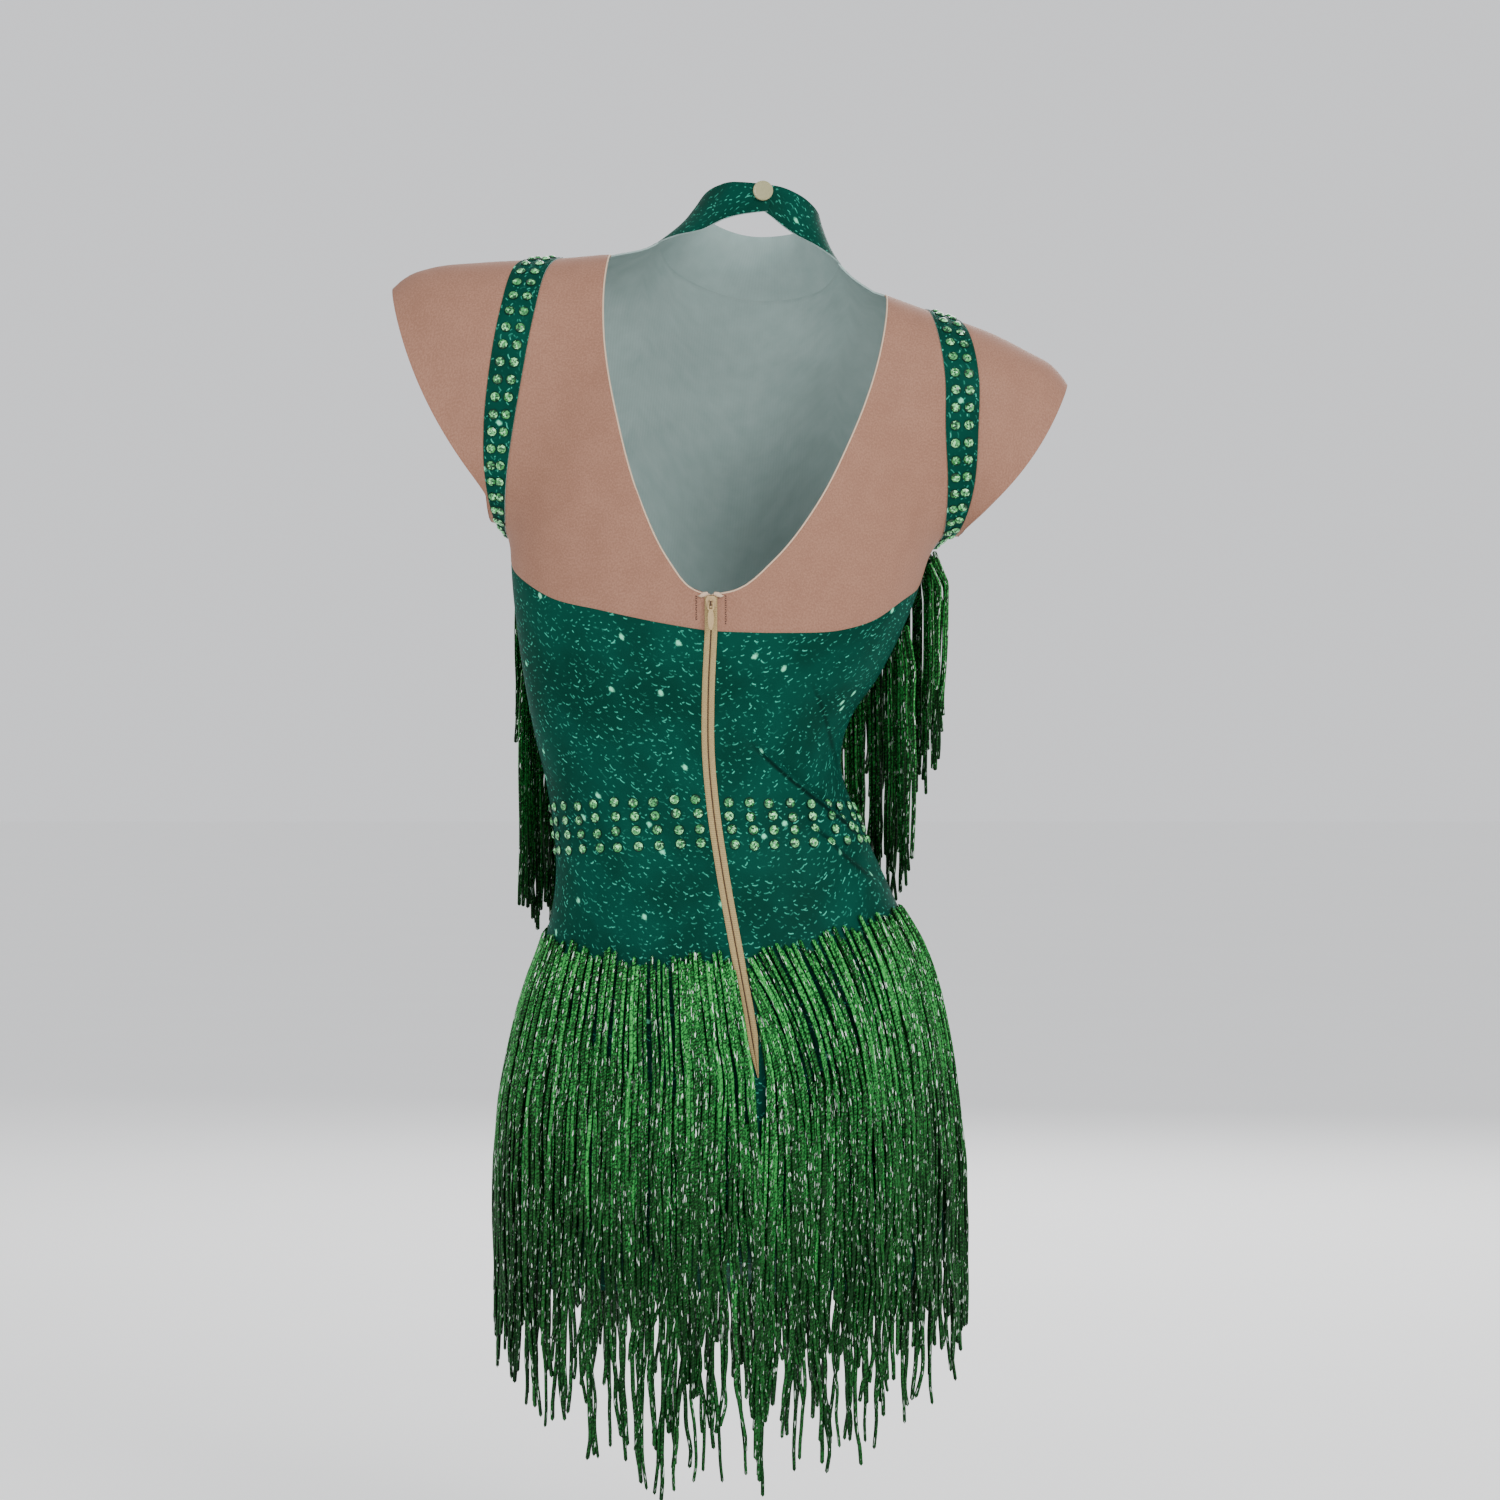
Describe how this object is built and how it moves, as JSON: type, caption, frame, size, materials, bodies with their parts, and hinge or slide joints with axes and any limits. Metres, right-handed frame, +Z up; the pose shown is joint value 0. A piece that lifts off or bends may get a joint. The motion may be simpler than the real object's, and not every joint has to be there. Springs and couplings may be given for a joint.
{
  "type": "fringe dance leotard, as worn",
  "caption": "Fringe dance leotard in its worn form, with a high snapped collar, open back, cap sleeves, short legs, back zip and rows of hanging fringe.",
  "frame": {"origin": "between the tops of the shoulders, where the wearer holds the garment", "axes": "+X towards the wearer's left, +Y towards the wearer's back, +Z up"},
  "size_m": [0.4439, 0.2426, 0.8311],
  "materials": {
    "front_bodice": "speckled stretch jersey",
    "back_bodice_left": "speckled stretch jersey",
    "back_bodice_right": "speckled stretch jersey",
    "back_yoke_left": "fine power mesh",
    "back_yoke_right": "fine power mesh",
    "cap_sleeve_left": "fine power mesh",
    "cap_sleeve_right": "fine power mesh",
    "armhole_band_left": "speckled stretch jersey",
    "armhole_band_right": "speckled stretch jersey",
    "collar": "speckled stretch jersey",
    "collar_snap": "satin",
    "zip_tape": "woven tape",
    "zip_slider": "satin enamel",
    "zip_pull_tab": "satin enamel",
    "hip_fringe_upper": "twisted chainette with tinsel",
    "hip_fringe_lower": "twisted chainette with tinsel",
    "chest_fringe_upper": "twisted chainette with tinsel",
    "chest_fringe_lower": "twisted chainette with tinsel"
  },
  "bodies": {
    "garment": {"front_bodice": "front_bodice", "back_bodice_left": "back_bodice_left", "back_bodice_right": "back_bodice_right", "back_yoke_left": "back_yoke_left", "back_yoke_right": "back_yoke_right", "cap_sleeve_left": "cap_sleeve_left", "cap_sleeve_right": "cap_sleeve_right", "armhole_band_left": "armhole_band_left", "armhole_band_right": "armhole_band_right", "collar": "collar", "collar_snap": "collar_snap", "zip_tape": "zip_tape", "zip_slider": "zip_slider", "hip_fringe_upper": "hip_fringe_upper", "hip_fringe_lower": "hip_fringe_lower", "chest_fringe_upper": "chest_fringe_upper", "chest_fringe_lower": "chest_fringe_lower"},
    "zip_pull": {"zip_pull_tab": "zip_pull_tab"}
  },
  "joints": [
    {"name": "pull_tab_swing", "type": "hinge", "parent": "garment", "child": "zip_pull", "pos_m": [0.01506, 0.09185, -0.21348], "axis": [0.9999, -0.0116, 0], "range_deg": [-5, 160]}
  ]
}
